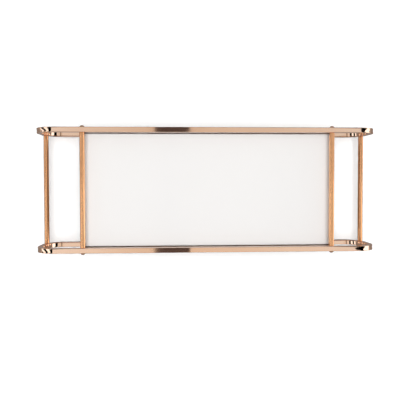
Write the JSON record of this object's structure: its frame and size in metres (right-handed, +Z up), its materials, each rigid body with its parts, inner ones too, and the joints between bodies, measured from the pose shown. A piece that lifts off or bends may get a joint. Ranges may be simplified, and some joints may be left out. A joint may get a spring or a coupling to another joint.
{
  "type": "vanity tray",
  "caption": "Long raised vanity tray: a pale glass panel let into a ledge between looped square-bar sides, with round end rails and open hand bays at each end.",
  "frame": {"origin": "centre of the footprint, on the surface that the foot pads stand on", "axes": "+X along the tray's length, +Y across it towards the rear side loop, +Z up"},
  "size_m": [0.4, 0.1476, 0.061],
  "materials": {
    "rose_gold_bar": "polished",
    "copper_rod": "polished",
    "ledge_strip": "satin",
    "screw_head": "polished",
    "white_glass": "gloss, white back-painted",
    "fibreboard": "raw",
    "vinyl": "matte, fine grain",
    "foam_tape": "matte",
    "clear_pad": "satin"
  },
  "bodies": {
    "root": {"front_side_loop": "rose_gold_bar", "rear_side_loop": "rose_gold_bar", "left_end_rail": "copper_rod", "right_end_rail": "copper_rod", "left_handle_rod": "copper_rod", "right_handle_rod": "copper_rod", "front_ledge": "ledge_strip", "rear_ledge": "ledge_strip", "left_end_ledge": "ledge_strip", "right_end_ledge": "ledge_strip", "cross_bar": "ledge_strip", "glass_panel": "white_glass", "backing_board": "fibreboard", "vinyl_backing": "vinyl", "foam_tape": "foam_tape", "end_rail_screws": "screw_head", "handle_rod_screws": "screw_head", "ledge_screws": "screw_head", "foot_pads": "clear_pad"}
  },
  "joints": []
}
